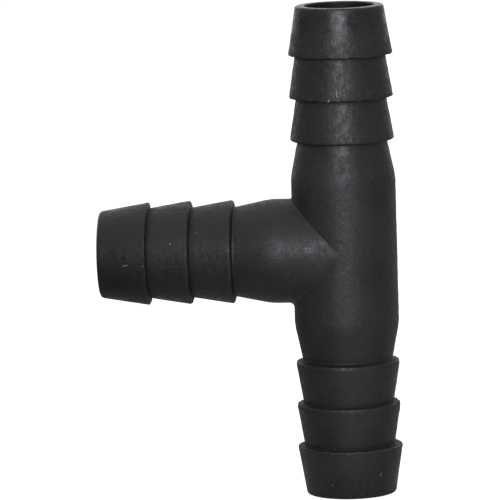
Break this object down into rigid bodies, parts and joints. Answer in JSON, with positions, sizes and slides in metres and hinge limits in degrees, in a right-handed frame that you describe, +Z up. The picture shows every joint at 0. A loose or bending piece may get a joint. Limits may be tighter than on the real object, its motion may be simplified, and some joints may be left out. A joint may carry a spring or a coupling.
{
  "type": "barbed tee connector",
  "caption": "One-piece moulded plastic tee with a straight run and a side branch, all barbed to grip flexible hose, joined by crossing bores.",
  "frame": {"origin": "where the three bore axes meet", "axes": "+Z up the straight run, the branch points along -X, and -Y is the front with the round witness mark"},
  "size_m": [0.0594, 0.0208, 0.098],
  "materials": {
    "black_moulding": "satin, finely textured black moulded plastic"
  },
  "bodies": {
    "root": {"tee_body": "black_moulding", "upper_hose_tail": "black_moulding", "lower_hose_tail": "black_moulding", "branch_hose_tail": "black_moulding"}
  },
  "joints": []
}
